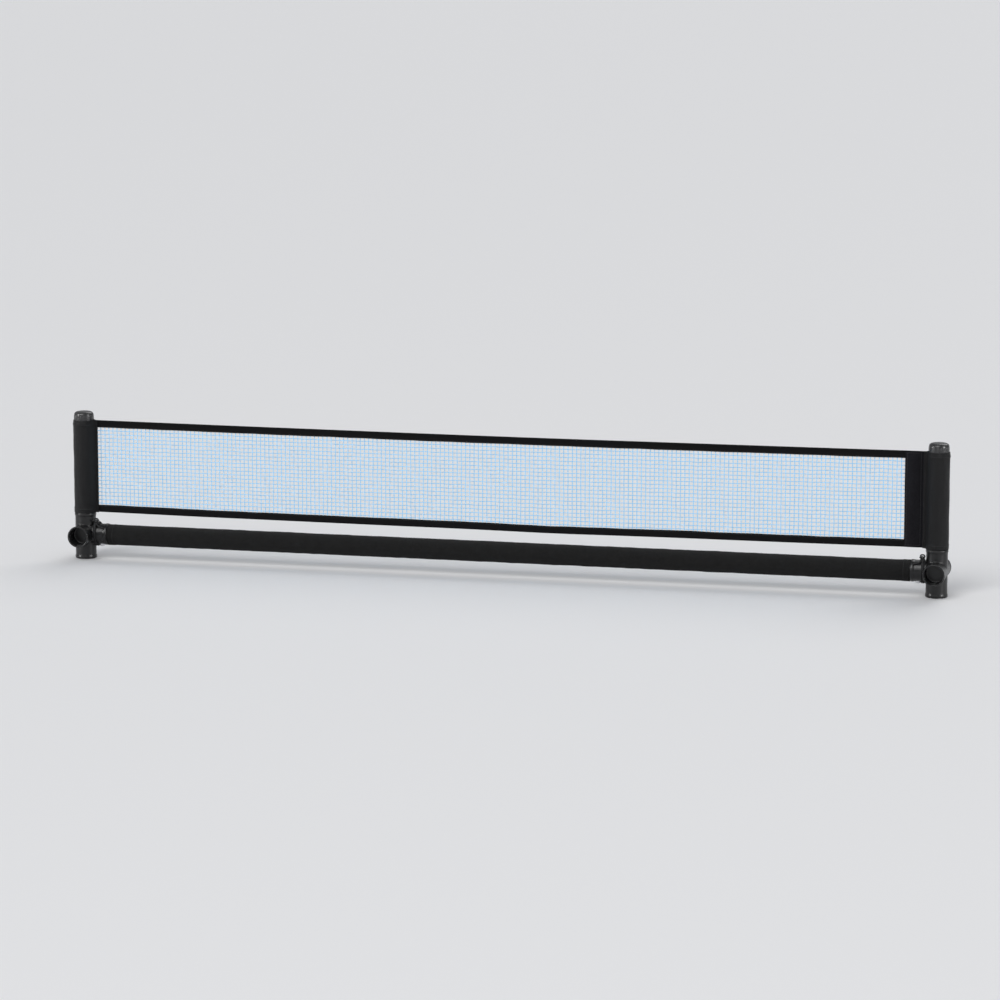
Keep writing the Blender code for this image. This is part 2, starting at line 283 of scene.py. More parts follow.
def bumpFrom(tree, shader, height, distance):
    bump = firstOut(tree, "ShaderNodeBump", {"Strength": 1.0, "Distance": distance, "Height": height})
    tree.links.new(bump, shader.inputs["Normal"])


def mixColours(tree, factor, first, second):
    mixed = addNode(tree, "ShaderNodeMix", {"Factor": factor}, data_type="RGBA")
    for label, value in (("A", first), ("B", second)):
        socket = [s for s in mixed.inputs if s.name == label and s.type == "RGBA"][0]
        if isinstance(value, tuple):
            socket.default_value = (*value, 1.0)
        else:
            tree.links.new(value, socket)
    return [s for s in mixed.outputs if s.type == "RGBA"][0]


def makeClothMaterial(name, dark, light, pitch, depth, roughness, **constants):
    material, tree, shader = startMaterial(name, dark, roughness, **constants)
    uv = addNode(tree, "ShaderNodeTexCoord").outputs["UV"]
    weave = placeGroup(tree, weaveGroup, uv, **{"Thread pitch": pitch})
    # the weave's tone mixes random tone with painted shade in the dips between threads
    colour = mixColours(tree, weave["Tone and shade"], dark, light)
    tree.links.new(colour, shader.inputs["Base Color"])
    bumpFrom(tree, shader, weave["Height"], depth)
    return material


def makeCoatMaterial(name, dark, light, roughness, grain, depth, wear, **constants):
    material, tree, shader = startMaterial(name, dark, roughness, **constants)
    place = addNode(tree, "ShaderNodeTexCoord").outputs["Object"]
    skin = placeGroup(tree, grainGroup, place, **{"Grains per metre": grain})
    worn = placeGroup(tree, wearGroup, place, Amount=wear)
    drifted = mixColours(tree, skin["Drift"], dark, light)
    dusty = mixColours(tree, worn["Dust"], drifted, (0.16, 0.16, 0.155))
    tree.links.new(dusty, shader.inputs["Base Color"])
    base = mathNode(tree, "MULTIPLY_ADD", skin["Drift"], 0.16, roughness - 0.08)
    rough = mathNode(tree, "MULTIPLY_ADD", worn["Scuffs"], 0.22, base)
    tree.links.new(rough, shader.inputs["Roughness"])
    bumpFrom(tree, shader, skin["Height"], depth)
    return material


def makeMetalMaterial(name, colour, roughness, brushed):
    material, tree, shader = startMaterial(name, colour, roughness, 1.0)
    place = addNode(tree, "ShaderNodeTexCoord").outputs["Object"]
    stretched = firstOut(tree, "ShaderNodeMapping", {"Scale": brushed, "Vector": place})
    skin = placeGroup(tree, grainGroup, stretched, **{"Grains per metre": 900.0})
    rough = mathNode(tree, "MULTIPLY_ADD", skin["Height"], 0.25, roughness - 0.1)
    tree.links.new(rough, shader.inputs["Roughness"])
    tone = mixColours(tree, skin["Drift"], tuple(0.82 * c for c in colour), colour)
    tree.links.new(tone, shader.inputs["Base Color"])
    bumpFrom(tree, shader, skin["Height"], 0.00002)
    return material


def makeYarnMaterial(name, dark, light, roughness, **constants):
    material, tree, shader = startMaterial(name, dark, roughness, **constants)
    place = addNode(tree, "ShaderNodeTexCoord").outputs["Object"]
    fibre = placeGroup(tree, grainGroup, place, **{"Grains per metre": 2600.0})
    tree.links.new(mixColours(tree, fibre["Height"], dark, light), shader.inputs["Base Color"])
    bumpFrom(tree, shader, fibre["Height"], 0.00012)
    return material


mouldedBlack = makeCoatMaterial(
    "mouldedBlack", (0.003, 0.003, 0.0034), (0.008, 0.008, 0.0084), 0.30, 2200.0, 0.00005, 0.28,
    **{"Specular IOR Level": 0.42},
)
powderCoat = makeCoatMaterial(
    "powderCoat", (0.006, 0.006, 0.0065), (0.011, 0.011, 0.0115), 0.38, 1500.0, 0.00007, 0.22,
    **{"Specular IOR Level": 0.45},
)
capBlack = makeCoatMaterial(
    "capBlack", (0.010, 0.010, 0.011), (0.020, 0.020, 0.021), 0.28, 2600.0, 0.00004, 0.25,
    **{"Specular IOR Level": 0.6},
)
pocketCloth = makeClothMaterial(
    "pocketCloth", (0.0008, 0.0008, 0.0011), (0.005, 0.005, 0.0056), 0.00055, 0.00014, 0.42,
    **{"Specular IOR Level": 0.20, "Sheen Weight": 0.02, "Sheen Roughness": 0.4},
)
sleeveCloth = makeClothMaterial(
    "sleeveCloth", (0.0005, 0.0005, 0.0005), (0.013, 0.013, 0.013), 0.0011, 0.00032, 0.9,
    **{"Specular IOR Level": 0.10, "Sheen Weight": 0.03, "Sheen Roughness": 0.6},
)
tapeCloth = makeClothMaterial(
    "tapeCloth", (0.0012, 0.0012, 0.0014), (0.005, 0.005, 0.0056), 0.0007, 0.00016, 0.8,
    **{"Specular IOR Level": 0.09, "Sheen Weight": 0.015, "Sheen Roughness": 0.5},
)
panelCloth = makeClothMaterial(
    "panelCloth", (0.0006, 0.0006, 0.0011), (0.013, 0.0125, 0.0155), 0.0013, 0.00040, 0.92,
    **{"Specular IOR Level": 0.08, "Sheen Weight": 0.02, "Sheen Roughness": 0.6},
)
netYarn = makeYarnMaterial(
    "netYarn", (0.24, 0.52, 0.80), (0.36, 0.64, 0.90), 0.6, **{"Specular IOR Level": 0.35}
)
stitchYarn = makeYarnMaterial(
    "stitchYarn", (0.010, 0.010, 0.011), (0.036, 0.036, 0.038), 0.6, **{"Specular IOR Level": 0.4}
)
cordYarn = makeYarnMaterial(
    "cordYarn", (0.006, 0.006, 0.007), (0.030, 0.030, 0.031), 0.75, **{"Specular IOR Level": 0.35}
)
springSteel = makeMetalMaterial("springSteel", (0.50, 0.50, 0.52), 0.32, (0.2, 1.0, 1.0))
buttonSteel = makeMetalMaterial("buttonSteel", (0.74, 0.74, 0.76), 0.16, (1.0, 1.0, 1.0))
print("materials are made")


# mesh helpers

def finishPiece(piece, body, slotName, *nodes):
    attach(piece, body)
    if nodes:
        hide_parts(*nodes)
    return piece


def linkMesh(name, mesh, material):
    mesh.materials.clear()
    mesh.materials.append(material)
    piece = bpy.data.objects.new(name, mesh)
    bpy.context.collection.objects.link(piece)
    return piece


def runningLength(points, closed):
    total = [0.0]
    following = points[1:] + (points[:1] if closed else [])
    for first, second in zip(points, following):
        total.append(total[-1] + (second - first).length)
    return total


def tubeFaces(rings, count):
    # four-cornered faces between each ring of points and the next
    faces = []
    for i in range(rings - 1):
        for j in range(count):
            k = (j + 1) % count
            faces.append((i * count + j, i * count + k, (i + 1) * count + k, (i + 1) * count + j))
    return faces


def loftPiece(name, rings, material):
    # closed rings of points joined into a tube with flat ends, mapped in metres
    count = len(rings[0])
    mesh = bpy.data.meshes.new(name)
    points = [point for ring in rings for point in ring]
    faces, maps = tubeFaces(len(rings), count), []
    around = runningLength(rings[0], True)
    middles = [sum(ring, Vector()) / count for ring in rings]
    along = runningLength(middles, False)
    for i in range(len(rings) - 1):
        for j in range(count):
            left, right, low, high = around[j], around[j + 1], along[i], along[i + 1]
            maps.append([(left, low), (right, low), (right, high), (left, high)])
    for start, order in ((0, -1), ((len(rings) - 1) * count, 1)):
        loop = list(range(start, start + count))[::order]
        faces.append(tuple(loop))
        maps.append([(points[index].x + points[index].y, points[index].z) for index in loop])
    mesh.from_pydata(points, [], faces)
    layer = mesh.uv_layers.new(name="clothMap")
    corner = 0
    for mapped in maps:
        for value in mapped:
            layer.data[corner].uv = value
            corner += 1
    mesh.validate()
    fixed = bmesh.new()
    fixed.from_mesh(mesh)
    bmesh.ops.recalc_face_normals(fixed, faces=fixed.faces)
    fixed.to_mesh(mesh)
    fixed.free()
    mesh.shade_smooth()
    mesh.set_sharp_from_angle(angle=math.radians(50))
    return linkMesh(name, mesh, material)


def arcPoints(centre, radius, start, end, steps):
    angles = [math.radians(start + (end - start) * i / steps) for i in range(steps + 1)]
    return [(centre[0] + radius * math.cos(a), centre[1] + radius * math.sin(a)) for a in angles]


def ribbonOutline(middle, thickness):
    # closed outline of a strip of cloth whose middle line is given as flat points
    points = [Vector(p) for p in middle]
    half = thickness / 2
    sides = ([], [])
    for i, point in enumerate(points):
        before, after = points[max(i - 1, 0)], points[min(i + 1, len(points) - 1)]
        run = (after - before).normalized()
        normal = Vector((-run.y, run.x))
        sides[0].append(point + normal * half)
        sides[1].append(point - normal * half)
    ends = []
    for point, neighbour in ((points[-1], points[-2]), (points[0], points[1])):
        ends.append(point + (point - neighbour).normalized() * half * 0.8)
    return sides[0] + [ends[0]] + sides[1][::-1] + [ends[1]]


def evenly(low, high, steps):
    return [low + (high - low) * i / steps for i in range(steps + 1)]


def smoothStep(low, high, value):
    t = min(max((value - low) / (high - low), 0.0), 1.0)
    return t * t * (3 - 2 * t)


def ripple(place, size, seed):
    return noise.noise(Vector(place) / size + Vector((seed, seed * 1.7, seed * 0.3)))


# geometry node trees

def newGrower(name, *inputs):
    return newGroup(name, "GeometryNodeTree", inputs, [("Geometry", "Geometry")])


def vectorOf(tree, **parts):
    return firstOut(tree, "ShaderNodeCombineXYZ", parts)


def turnTo(tree, direction, axis):
    return firstOut(tree, "FunctionNodeAlignRotationToVector", {"Vector": direction}, axis=axis)


def pointLine(tree, count, axis, step):
    offset = vectorOf(tree, **{axis: step})
    return firstOut(tree, "GeometryNodeMeshLine", {"Count": count, "Offset": offset})


def circleCurve(tree, sides, radius):
    return firstOut(tree, "GeometryNodeCurvePrimitiveCircle", {"Resolution": sides, "Radius": radius})


def sweepAlong(tree, curve, section, **more):
    inputs = {"Curve": curve, "Profile Curve": section, "Fill Caps": True, **more}
    return firstOut(tree, "GeometryNodeCurveToMesh", inputs)


def copyOn(tree, points, instance, **more):
    return firstOut(tree, "GeometryNodeInstanceOnPoints", {"Points": points, "Instance": instance, **more})


def finishTree(tree, geometry, material, made):
    real = firstOut(tree, "GeometryNodeRealizeInstances", {"Geometry": geometry})
    smooth = firstOut(tree, "GeometryNodeSetShadeSmooth", {"Geometry": real})
    painted = firstOut(tree, "GeometryNodeSetMaterial", {"Geometry": smooth, "Material": material})
    tree.links.new(painted, made["Geometry"])
    return tree


def makeStitchTree():
    # short beads of thread in rows along given lines
    tree, given, made = newGrower(
        "stitchRow",
        ("Geometry", "Geometry", None),
        ("Stitch pitch", "Float", 0.0034),
        ("Stitch length", "Float", 0.0026),
        ("Thread radius", "Float", 0.00026),
        ("Thread", "Material", None),
    )
    line = firstOut(tree, "GeometryNodeMeshToCurve", {"Mesh": given["Geometry"]})
    spacing = {"Curve": line, "Length": given["Stitch pitch"]}
    spaced = firstOut(tree, "GeometryNodeResampleCurve", spacing, mode="LENGTH")
    ball = firstOut(tree, "GeometryNodeMeshUVSphere", {"Segments": 6, "Rings": 4, "Radius": 1.0})
    half = mathNode(tree, "MULTIPLY", given["Stitch length"], 0.5)
    size = vectorOf(tree, X=half, Y=given["Thread radius"], Z=given["Thread radius"])
    stitch = firstOut(tree, "GeometryNodeTransform", {"Geometry": ball, "Scale": size})
    turn = turnTo(tree, firstOut(tree, "GeometryNodeInputTangent"), "X")
    return finishTree(tree, copyOn(tree, spaced, stitch, Rotation=turn), given["Thread"], made)


def makeNetTree():
    # level threads, upright threads and a small knot at each crossing, from the corner at the origin
    tree, given, made = newGrower(
        "knottedNet",
        ("Columns", "Int", 190),
        ("Rows", "Int", 24),
        ("Pitch", "Float", 0.0055),
        ("Thread radius", "Float", 0.00054),
        ("Knot radius", "Float", 0.0009),
        ("Yarn", "Material", None),
    )
    section = circleCurve(tree, 4, given["Thread radius"])
    joined = addNode(tree, "GeometryNodeJoinGeometry")
    for along, run, across, rise in (("Columns", "X", "Rows", "Z"), ("Rows", "Z", "Columns", "X")):
        thread = pointLine(tree, given[along], run, given["Pitch"])
        starts = pointLine(tree, given[across], rise, given["Pitch"])
        curve = firstOut(tree, "GeometryNodeMeshToCurve", {"Mesh": thread})
        threads = copyOn(tree, starts, sweepAlong(tree, curve, section))
        tree.links.new(threads, joined.inputs["Geometry"])
        if along == "Columns":
            size = {"Segments": 4, "Rings": 2, "Radius": given["Knot radius"]}
            knotRow = copyOn(tree, thread, firstOut(tree, "GeometryNodeMeshUVSphere", size))
            tree.links.new(copyOn(tree, starts, knotRow), joined.inputs["Geometry"])
    return finishTree(tree, joined.outputs["Geometry"], given["Yarn"], made)


def makeRibTree():
    # upright ribs set round a post's cap
    tree, given, made = newGrower(
        "capRibs",
        ("Centre", "Vector", None),
        ("Count", "Int", 20),
        ("Cap radius", "Float", 0.0139),
        ("Rib length", "Float", 0.008),
        ("Rib radius", "Float", 0.0006),
        ("Finish", "Material", None),
    )
    circle = {"Vertices": given["Count"], "Radius": given["Cap radius"]}
    ring = firstOut(tree, "GeometryNodeMeshCircle", circle)
    placed = firstOut(tree, "GeometryNodeTransform", {"Geometry": ring, "Translation": given["Centre"]})
    foot = vectorOf(tree, Z=mathNode(tree, "MULTIPLY", given["Rib length"], -0.5))
    head = vectorOf(tree, Z=mathNode(tree, "MULTIPLY", given["Rib length"], 0.5))
    bar = firstOut(tree, "GeometryNodeCurvePrimitiveLine", {"Start": foot, "End": head})
    stepped = firstOut(tree, "GeometryNodeResampleCurve", {"Count": 10, "Curve": bar})
    # thick along the middle, rounded off at both ends
    share = addNode(tree, "GeometryNodeSplineParameter").outputs["Factor"]
    centred = mathNode(tree, "ABSOLUTE", mathNode(tree, "MULTIPLY_ADD", share, 2.0, -1.0))
    falling = mathNode(tree, "SUBTRACT", 1.02, mathNode(tree, "POWER", centred, 5.0))
    section = circleCurve(tree, 8, given["Rib radius"])
    rib = sweepAlong(tree, stepped, section, Scale=mathNode(tree, "SQRT", falling))
    return finishTree(tree, copyOn(tree, placed, rib), given["Finish"], made)


def makeNapTree():
    # short fibres standing off a cloth, seeded
    tree, given, made = newGrower(
        "clothNap",
        ("Geometry", "Geometry", None),
        ("Fibres per square metre", "Float", 90000.0),
        ("Fibre length", "Float", 0.0012),
        ("Fibre radius", "Float", 0.00006),
        ("Seed", "Int", 4),
        ("Yarn", "Material", None),
    )
    cloth = {"Mesh": given["Geometry"], "Density": given["Fibres per square metre"], "Seed": given["Seed"]}
    spread = addNode(tree, "GeometryNodeDistributePointsOnFaces", cloth).outputs
    size = {"Vertices": 3, "Radius Bottom": given["Fibre radius"], "Depth": given["Fibre length"]}
    fibre = firstOut(tree, "GeometryNodeMeshCone", size)
    drawn = {"Min": (-0.9, -0.9, -0.9), "Max": (0.9, 0.9, 0.9), "Seed": given["Seed"]}
    lean = firstOut(tree, "FunctionNodeRandomValue", drawn, data_type="FLOAT_VECTOR")
    leaning = firstOut(tree, "ShaderNodeVectorMath", {0: spread["Normal"], 1: lean}, operation="ADD")
    fibres = copyOn(tree, spread["Points"], fibre, Rotation=turnTo(tree, leaning, "Z"))
    return finishTree(tree, fibres, given["Yarn"], made)


def makeCordTree():
    # laid cord: a lobed section that twists along its path
    tree, given, made = newGrower(
        "laidCord",
        ("Geometry", "Geometry", None),
        ("Cord radius", "Float", 0.0012),
        ("Lay length", "Float", 0.007),
        ("Strands", "Int", 3),
        ("Yarn", "Material", None),
    )
    path = firstOut(tree, "GeometryNodeMeshToCurve", {"Mesh": given["Geometry"]})
    travelled = addNode(tree, "GeometryNodeSplineParameter").outputs["Length"]
    turns = mathNode(tree, "DIVIDE", travelled, given["Lay length"])
    angle = mathNode(tree, "MULTIPLY", turns, 2 * math.pi)
    twisted = firstOut(tree, "GeometryNodeSetCurveTilt", {"Curve": path, "Tilt": angle})
    ring = circleCurve(tree, 15, given["Cord radius"])
    around = addNode(tree, "GeometryNodeSplineParameter").outputs["Factor"]
    strands = mathNode(tree, "MULTIPLY", around, given["Strands"])
    wave = mathNode(tree, "COSINE", mathNode(tree, "MULTIPLY", strands, 2 * math.pi))
    lobe = mathNode(tree, "MULTIPLY_ADD", wave, 0.16, 0.86)
    where = firstOut(tree, "GeometryNodeInputPosition")
    moved = firstOut(tree, "ShaderNodeVectorMath", {0: where, "Scale": lobe}, operation="SCALE")
    section = firstOut(tree, "GeometryNodeSetPosition", {"Geometry": ring, "Position": moved})
    return finishTree(tree, sweepAlong(tree, twisted, section), given["Yarn"], made)


stitchTree = makeStitchTree()
netTree = makeNetTree()
ribTree = makeRibTree()
napTree = makeNapTree()
cordTree = makeCordTree()


def keepEvaluated(holder):
    graph = bpy.context.evaluated_depsgraph_get()
    mesh = bpy.data.meshes.new_from_object(holder.evaluated_get(graph), depsgraph=graph)
    bpy.data.objects.remove(holder, do_unlink=True)
    return mesh


def growPiece(name, start, tree, values, material):
    # runs a node tree on a start mesh and keeps the plain mesh that it makes
    holder = bpy.data.objects.new(name + "Start", start)
    bpy.context.collection.objects.link(holder)
    modifier = holder.modifiers.new(tree.name, "NODES")
    modifier.node_group = tree
    for item in tree.interface.items_tree:
        if item.in_out == "INPUT" and item.name in values:
            modifier[item.identifier] = values[item.name]
    grown = keepEvaluated(holder)
    grown.name = name
    return linkMesh(name, grown, material)


def pathMesh(name, paths):
    mesh = bpy.data.meshes.new(name)
    points, edges = [], []
    for path, closed in paths:
        start = len(points)
        points += [tuple(p) for p in path]
        edges += [(start + i, start + i + 1) for i in range(len(path) - 1)]
        if closed:
            edges.append((start + len(path) - 1, start))
    mesh.from_pydata(points, edges, [])
    return mesh


stitchSetup = {"Stitch pitch": 0.0034, "Stitch length": 0.0027, "Thread radius": 0.00026}


def sewRows(name, paths, body, slotName):
    values = dict(stitchSetup, Thread=stitchYarn)
    rows = growPiece(name, pathMesh(name + "Path", paths), stitchTree, values, stitchYarn)
    return finishPiece(rows, body, slotName)


def layCord(name, paths, radius, layLength):
    values = {"Cord radius": radius, "Lay length": layLength, "Strands": 3, "Yarn": cordYarn}
    return growPiece(name, pathMesh(name + "Path", paths), cordTree, values, cordYarn)


print("node trees are made")


# hubs, tubes and metal parts

hubSetup = {"mergeWithin": 0.000005, "voxel": 0.0006, "smoothing": 0.5, "rounds": 10}


def softenHub(node, setup):
    # the moulded fitting with small fillets where its sockets meet
    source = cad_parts[node]
    shape = bmesh.new()
    shape.from_mesh(source.data)
    bmesh.ops.remove_doubles(shape, verts=shape.verts, dist=setup["mergeWithin"])
    mesh = bpy.data.meshes.new(node + "Cast")
    shape.to_mesh(mesh)
    shape.free()
    holder = bpy.data.objects.new(node + "Cast", mesh)
    bpy.context.collection.objects.link(holder)
    remesh = holder.modifiers.new("even", "REMESH")
    remesh.mode = "VOXEL"
    remesh.voxel_size = setup["voxel"]
    rounded = holder.modifiers.new("round", "SMOOTH")
    rounded.factor = setup["smoothing"]
    rounded.iterations = setup["rounds"]
    cast = keepEvaluated(holder)
    cast.shade_smooth()
    return cast


def makeHubs():
    for word in sideNames.values():
        node = "hub_" + word
        piece = linkMesh("mouldedHub" + word.capitalize(), softenHub(node, hubSetup), mouldedBlack)
        finishPiece(piece, "frame", "moulded_black", node)


def paintNode(node, material):
    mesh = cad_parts[node].data
    mesh.materials.clear()
    mesh.materials.append(material)


def paintMetal():
    paintNode("crossbar_tube", powderCoat)
    for word in sideNames.values():
        paintNode("post_tube_" + word, powderCoat)
        paintNode("snap_spring_" + word, springSteel)
        paintNode("snap_button_" + word, buttonSteel)


makeHubs()
paintMetal()
print("hubs and metal parts are done")


# post caps

capSetup = {
    "topRound": 0.0050,
    "skirtRound": 0.0005,
    "sides": 64,
    "wall": 0.0009,
    "crown": 0.002,
    "ribDepth": 0.0005,
    "ribDrop": 0.42,
}
ribSetup = {"Count": 20, "Rib length": 0.0100, "Rib radius": 0.00080}


def turnedPiece(name, profile, axis, sides, material):
    shape = bmesh.new()
    rings = []
    for radius, height in profile:
        if radius == 0.0:
            rings.append([shape.verts.new((axis.x, axis.y, height))] * sides)
            continue
        ring = []
        for i in range(sides):
            angle = 2 * math.pi * i / sides
            x, y = axis.x + radius * math.cos(angle), axis.y + radius * math.sin(angle)
            ring.append(shape.verts.new((x, y, height)))
        rings.append(ring)
    for lower, upper in zip(rings, rings[1:]):
        for i in range(sides):
            j = (i + 1) % sides
            shape.faces.new(list(dict.fromkeys([lower[i], lower[j], upper[j], upper[i]])))
    bmesh.ops.recalc_face_normals(shape, faces=shape.faces)
    mesh = bpy.data.meshes.new(name)
    shape.to_mesh(mesh)
    shape.free()
    mesh.shade_smooth()
    mesh.set_sharp_from_angle(angle=math.radians(40))
    return linkMesh(name, mesh, material)


def makeCap(side, setup):
    word = sideNames[side]
    low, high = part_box("post_cap_" + word)
    radius = (high.x - low.x) / 2
    top, base = high.z, low.z
    roundness, small = setup["topRound"], setup["skirtRound"]
    inner = radius - setup["wall"]
    profile = [(0.0, top - setup["crown"]), (inner, top - setup["crown"]), (inner, base)]
    profile += arcPoints((radius - small, base + small), small, -80, 0, 4)
    profile += arcPoints((radius - roundness, top - roundness), roundness, 0, 78, 10)
    profile.append((0.0, top))
    cap = turnedPiece("postCap" + word.capitalize(), profile, postAxis[side], setup["sides"], capBlack)
    finishPiece(cap, postBodies[side], "cap_black", "post_cap_" + word)
    values = dict(ribSetup, Finish=capBlack)
    ribHeight = top - roundness - ribSetup["Rib length"] * setup["ribDrop"]
    values["Centre"] = (postAxis[side].x, postAxis[side].y, ribHeight)
    values["Cap radius"] = radius - setup["ribDepth"]
    ribs = growPiece("capRibs" + word.capitalize(), bpy.data.meshes.new("none"), ribTree, values, capBlack)
    finishPiece(ribs, postBodies[side], "cap_black")


for side in sideNames:
    makeCap(side, capSetup)
print("caps are done")


# the net's pockets round the posts

pocketSetup = {
    "clothThickness": 0.0008,
    "roundSteps": 64,
    "heightSteps": 100,
    "hemHeight": 0.0075,
    "hemLift": 0.00035,
    "layerSpread": 0.00085,
    "foldDepth": 0.00032,
    "topDrawnIn": 0.00085,
    "pleats": 22,
    "pleatDepth": 0.00022,
    "topBand": 0.0065,
    "seamStitches": (0.0012, 0.0034),
    "hemStitch": 0.0058,
    "stitchEnd": 0.002,
}


def pocketMiddle(radius, reach, spread):
    # half-open teardrop: round the post, then two layers side by side towards the net
    meet = radius + 0.0024
    leave = math.degrees(math.acos(radius / meet)) + 3
    front = [(reach, spread), ((reach + meet) / 2, spread), (meet, spread * 1.15)]
    loop = arcPoints((0.0, 0.0), radius, leave, 360 - leave, pocketSetup["roundSteps"])
    back = [(x, -y) for x, y in reversed(front)]
    return front + loop + back


def pocketLift(side, angle, height, low, high):
    # how far the cloth stands off its plain round: hems, soft folds and the drawn-in top
    setup = pocketSetup
    fromEnd = min(height - low, high - height)
    hem = setup["hemHeight"]
    lift = setup["hemLift"] * (1 - smoothStep(hem - 0.0008, hem + 0.0008, fromEnd))
    nearTop = 1 - smoothStep(0.0, setup["topBand"], high - height)
    fold = ripple((3 * math.cos(angle), 3 * math.sin(angle), height * 55), 1.3, 2.0 + side)
    slant = math.sin(6 * angle + (height - low) * 110) * (1 - smoothStep(0.0, 0.035, high - height))
    pleat = setup["pleatDepth"] * math.sin(setup["pleats"] * angle) * nearTop
    folds = (fold * 1.6 + slant * 0.4) * setup["foldDepth"] * (1 - 0.6 * nearTop)
    return lift + folds + pleat - setup["topDrawnIn"] * nearTop


def makePocket(side, setup):
    word = sideNames[side]
    low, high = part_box("net_pocket_" + word)
    axis = postAxis[side]
    outer = (high.y - low.y) / 2
    radius = outer - setup["clothThickness"] / 2
    reach = max(abs(low.x - axis.x), abs(high.x - axis.x)) - setup["clothThickness"] / 2
    rings = []
    for height in evenly(low.z, high.z, setup["heightSteps"]):
        outline = ribbonOutline(pocketMiddle(radius, reach, setup["layerSpread"]), setup["clothThickness"])
        ring = []
        for x, y in outline:
            away = Vector((x, y)).normalized()
            angle = math.atan2(y, x) % (2 * math.pi)
            onRound = smoothStep(0.0174, 0.0150, math.hypot(x, y))
            bulge = pocketLift(side, angle, height, low.z, high.z) * onRound
            x, y = x + away.x * bulge, y + away.y * bulge
            ring.append(Vector((axis.x - side * x, axis.y + y, height)))
        rings.append(ring)
    pocket = loftPiece("netPocket" + word.capitalize(), rings, pocketCloth)
    finishPiece(pocket, postBodies[side], "pocket_fabric", "net_pocket_" + word)

    rows = []
    face = setup["layerSpread"] + setup["clothThickness"] / 2 + 0.0001
    for back in (-1, 1):
        for offset in setup["seamStitches"]:
            x = axis.x - side * (reach - offset)
            heights = evenly(low.z + setup["stitchEnd"], high.z - setup["stitchEnd"], 40)
            rows.append(([Vector((x, back * face, z)) for z in heights], False))
    for height in (low.z + setup["hemStitch"], high.z - setup["hemStitch"]):
        ring = []
        for degrees in evenly(34, 326, 90):
            angle = math.radians(degrees)
            reached = outer + pocketLift(side, angle, height, low.z, high.z) + 0.00012
            x, y = reached * math.cos(angle), reached * math.sin(angle)
            ring.append(Vector((axis.x - side * x, axis.y + y, height)))
        rows.append((ring, False))
    sewRows("pocketStitches" + word.capitalize(), rows, postBodies[side], "pocket_fabric")


for side in sideNames:
    makePocket(side, pocketSetup)
print("pockets are done")


# net: mesh, tapes, cord and end panel

netSetup = {
    "pitch": 0.0055,
    "acrossPitch": 0.0061,
    "threadRadius": 0.00054,
    "knotRadius": 0.00090,
    "topSag": 0.0016,
    "bottomSag": 0.0022,
    "billow": 0.0016,
    "jitter": 0.00045,
    "thinned": 0.62,
    "intoBottomTape": 0.0016,
    "belowCord": 0.0007,
}
tapeSetup = {
    "thickness": 0.0007,
    "legGap": 0.0011,
    "lengthSteps": 300,
    "waver": 0.00045,
    "tuckedIn": 0.0022,
    "pressedFlat": 0.34,
    "stitchFromEdge": 0.0014,
    "stitchEnd": 0.002,
    "cordLay": 0.008,
}

tapeLow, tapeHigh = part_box("net_top_tape")
baseLow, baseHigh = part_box("net_bottom_tape")
netStart, netEnd = tapeLow.x, tapeHigh.x
netBody = "net_and_left_post"


def spanShare(x):
    return min(max((x - netStart) / (netEnd - netStart), 0.0), 1.0)


def topDrop(x):
    return netSetup["topSag"] * math.sin(math.pi * spanShare(x))


def bottomDrop(x):
    wander = 0.5 * netSetup["bottomSag"] * ripple((x, 0.0, 0.0), 0.16, 5.0)
    return (netSetup["bottomSag"] + wander) * math.sin(math.pi * spanShare(x))


def netBillow(x):
    return netSetup["billow"] * ripple((x, 0.0, 0.0), 0.22, 9.0) * math.sin(math.pi * spanShare(x))


def pressAt(x):
    # each tape is pressed flat where it runs in between the layers sewn over its ends
    free = smoothStep(netStart - 0.0004, netStart + 0.005, x)
    free *= smoothStep(netEnd + 0.0004, netEnd - 0.005, x)
    return tapeSetup["pressedFlat"] + (1 - tapeSetup["pressedFlat"]) * free


def tapePiece(name, middleAt, material):
    rings = []
    tucked = tapeSetup["tuckedIn"]
    ends = [netStart - tucked, netStart - tucked / 2], [netEnd + tucked / 2, netEnd + tucked]
    for x in ends[0] + evenly(netStart, netEnd, tapeSetup["lengthSteps"]) + ends[1]:
        outline = ribbonOutline(middleAt(x), tapeSetup["thickness"])
        rings.append([Vector((x, y * pressAt(x) + netBillow(x), z)) for y, z in outline])
    return loftPiece(name, rings, material)


cordLow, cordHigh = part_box("net_top_cord")
cordRadius = (cordHigh.z - cordLow.z) / 2
cordHeight = (cordHigh.z + cordLow.z) / 2


def topMiddle(x):
    # folded over the cord, then two legs down either side of the mesh
    drop = topDrop(x)
    around = cordRadius + tapeSetup["thickness"] / 2 + 0.0003
    leg = tapeSetup["legGap"] / 2 + tapeSetup["thickness"] / 2
    edge = tapeLow.z - drop + 0.0004 * ripple((x, 0.0, 1.0), 0.03, 3.0) + tapeSetup["thickness"] / 2
    waver = tapeSetup["waver"] * ripple((x, 1.0, 0.0), 0.045, 4.0)
    centre = (0.0, cordHeight - drop)
    lift = arcPoints(centre, around, 205, -25, 14)
    shares = (0.0, 0.33, 0.66, 1.0)
    start = centre[1] - around - 0.0006
    legs = [(-leg + waver * t, start + (edge - start) * t) for t in shares]
    right = [(leg + waver * t, z) for (_, z), t in zip(legs, shares)]
    return legs[::-1] + lift + right


